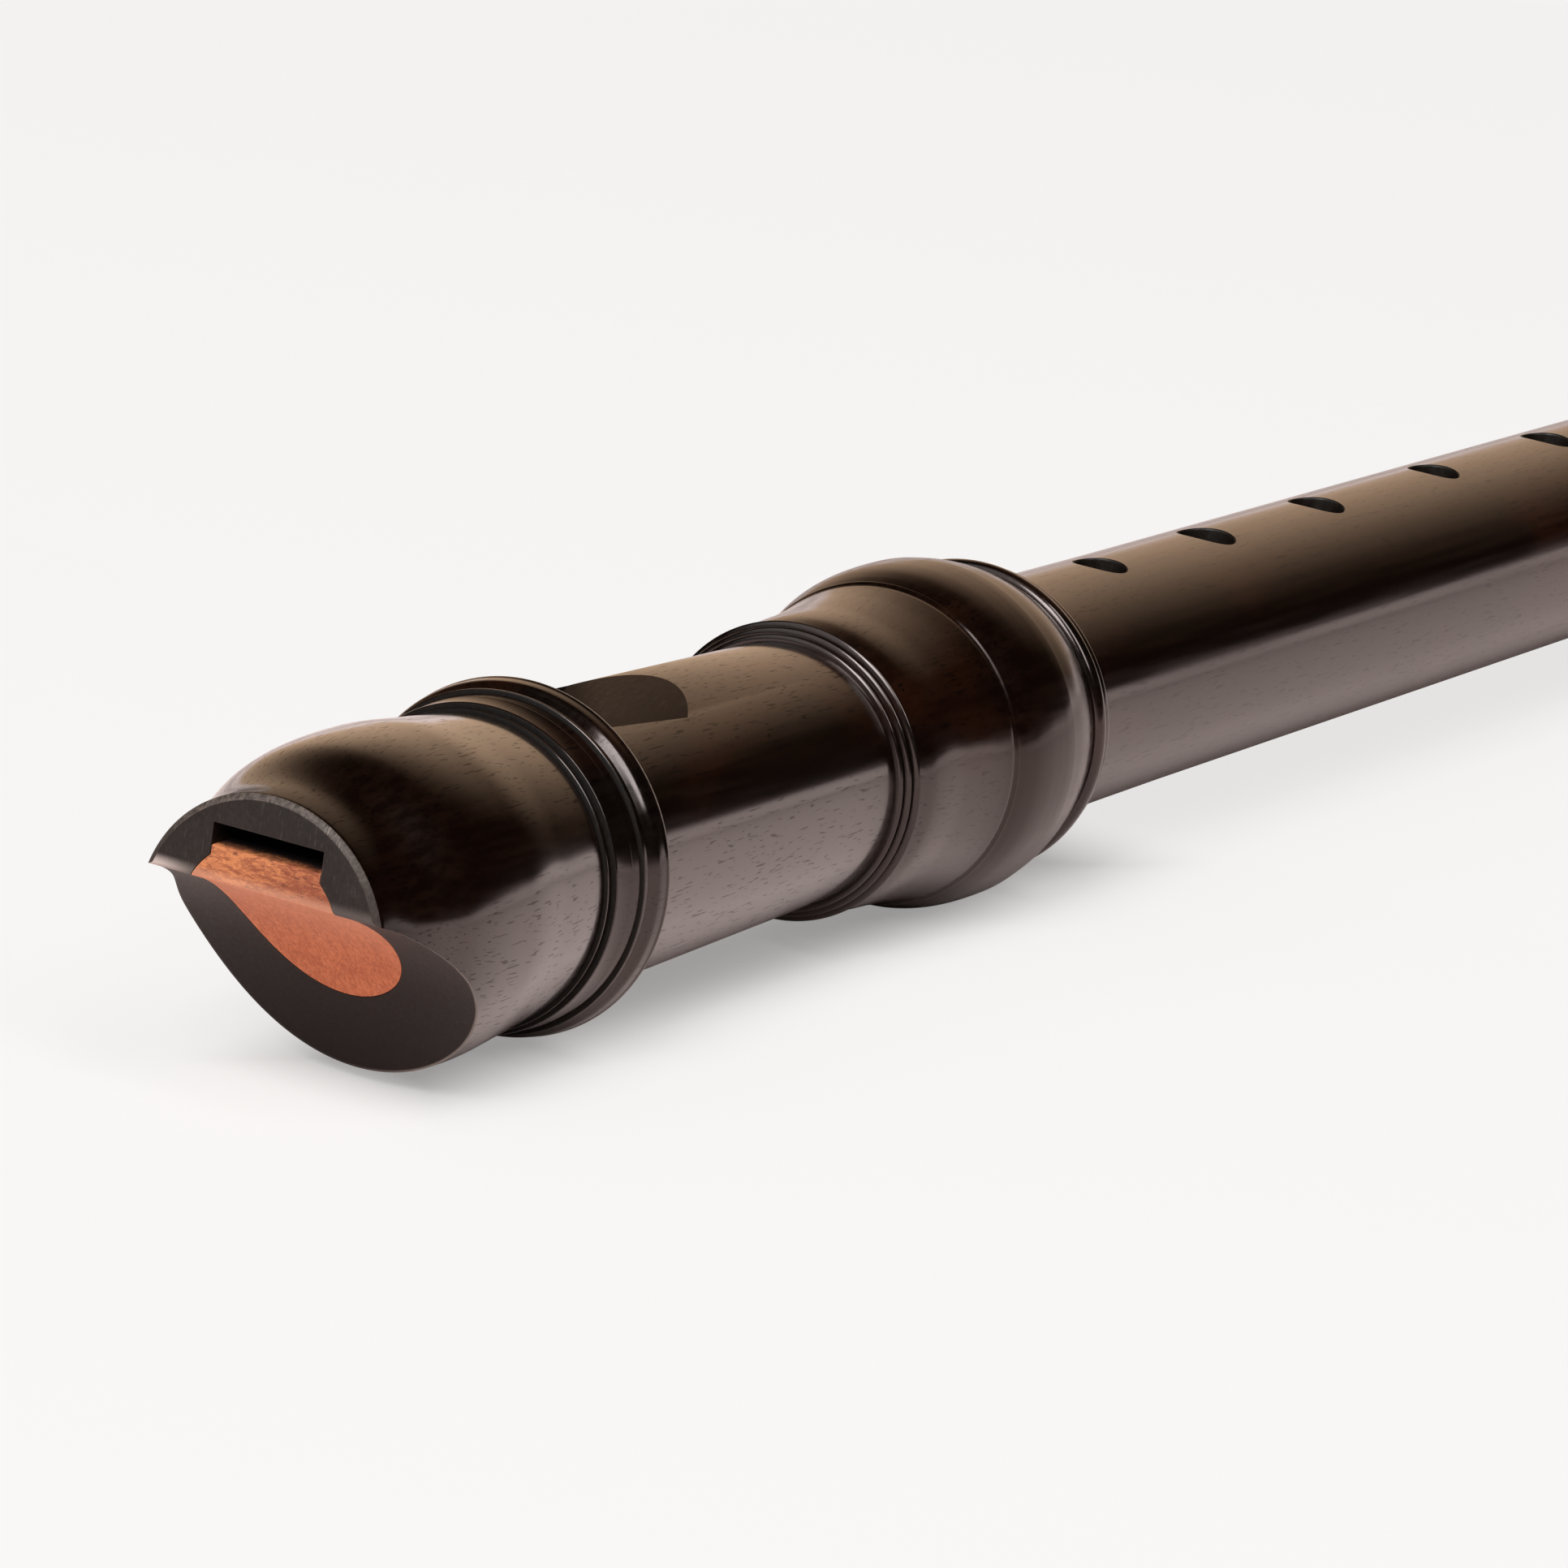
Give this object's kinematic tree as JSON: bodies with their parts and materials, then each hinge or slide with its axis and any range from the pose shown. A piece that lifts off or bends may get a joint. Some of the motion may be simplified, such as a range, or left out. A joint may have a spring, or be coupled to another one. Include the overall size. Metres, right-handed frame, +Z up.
{
  "type": "recorder",
  "caption": "Alto recorder in three turned joints with cork-lapped tenons, a fipple block, a windway with window and sharp edge, and open tone holes.",
  "frame": {"origin": "on the surface that the recorder lies on, under the middle of its length", "axes": "+X along the bore from the beak to the foot, +Z up out of the window and the finger holes, +Y to the player's right as seen from the foot"},
  "size_m": [0.4412, 0.038, 0.038],
  "materials": {
    "head_wood": "satin",
    "middle_wood": "satin",
    "foot_wood": "satin",
    "cedar": "matte",
    "cork": "matte"
  },
  "bodies": {
    "middle": {"middle_joint": "middle_wood"},
    "upper_cork": {"upper_tenon_cork": "cork"},
    "head": {"head_joint": "head_wood"},
    "fipple": {"block": "cedar"},
    "lower_cork": {"lower_tenon_cork": "cork"},
    "foot": {"foot_joint": "foot_wood"}
  },
  "joints": [
    {"name": "head_twist", "type": "hinge", "parent": "middle", "child": "upper_cork", "pos_m": [-0.08, 0, 0.019], "axis": [1, 0, 0], "continuous": true},
    {"name": "head_pull", "type": "slide", "parent": "upper_cork", "child": "head", "axis": [-1, 0, 0], "range_m": [0, 0.035]},
    {"name": "block_push", "type": "slide", "parent": "head", "child": "fipple", "axis": [-1, 0, 0], "range_m": [0, 0.055]},
    {"name": "foot_twist", "type": "hinge", "parent": "middle", "child": "lower_cork", "pos_m": [0.135, 0, 0.019], "axis": [1, 0, 0], "continuous": true},
    {"name": "foot_pull", "type": "slide", "parent": "lower_cork", "child": "foot", "axis": [1, 0, 0], "range_m": [0, 0.03]}
  ]
}
